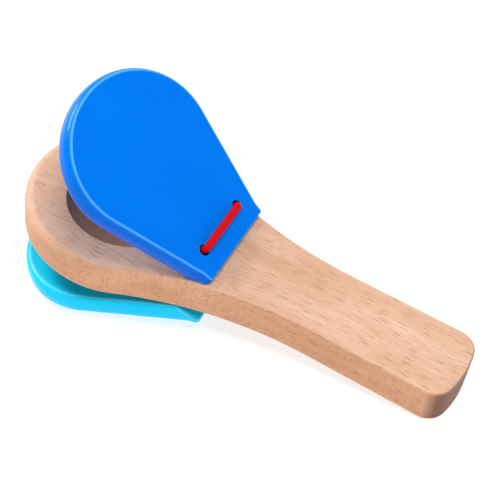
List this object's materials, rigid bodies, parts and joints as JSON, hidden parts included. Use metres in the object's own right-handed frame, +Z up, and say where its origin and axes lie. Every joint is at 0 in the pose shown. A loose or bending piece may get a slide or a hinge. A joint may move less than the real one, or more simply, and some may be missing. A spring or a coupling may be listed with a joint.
{
  "type": "handle castanets",
  "caption": "Wooden handle castanets: a beech paddle with a dished head and painted teardrop clappers, hinged on red elastic cord, that snap against its faces when shaken.",
  "frame": {"origin": "on the table the castanets lie on, under the middle of their bounding box", "axes": "+X along the handle towards the grip's end, +Y across it, +Z up from the table; the paddle itself leans 6.3 degrees, head up, because the lower clapper holds its head off the table"},
  "size_m": [0.191, 0.0808, 0.0822],
  "materials": {
    "beech": "sanded, unvarnished",
    "dark_blue_paint": "satin paint",
    "light_blue_paint": "gloss paint",
    "red_elastic": "braided"
  },
  "bodies": {
    "handle": {"handle": "beech", "elastic_right_leg": "red_elastic", "elastic_left_leg_upper": "red_elastic", "elastic_left_leg_lower": "red_elastic", "elastic_knot": "red_elastic"},
    "upper_clapper": {"upper_clapper": "dark_blue_paint", "elastic_upper_strand": "red_elastic"},
    "lower_clapper": {"lower_clapper": "light_blue_paint", "elastic_lower_strand": "red_elastic"}
  },
  "joints": [
    {"name": "upper_clapper_hinge", "type": "hinge", "parent": "handle", "child": "upper_clapper", "pos_m": [-0.01563, 0.00218, 0.0285], "axis": [0.0468, -0.9989, -0.0051], "range_deg": [0, 33.6], "stiffness_Nm_per_rad": 0.1, "springref_deg": -8.59},
    {"name": "lower_clapper_hinge", "type": "hinge", "parent": "handle", "child": "lower_clapper", "pos_m": [-0.01766, -0.00022, 0.01183], "axis": [-0.059, 0.9982, 0.0065], "range_deg": [-24.4, 9.2], "stiffness_Nm_per_rad": 0.1, "springref_deg": -33}
  ]
}
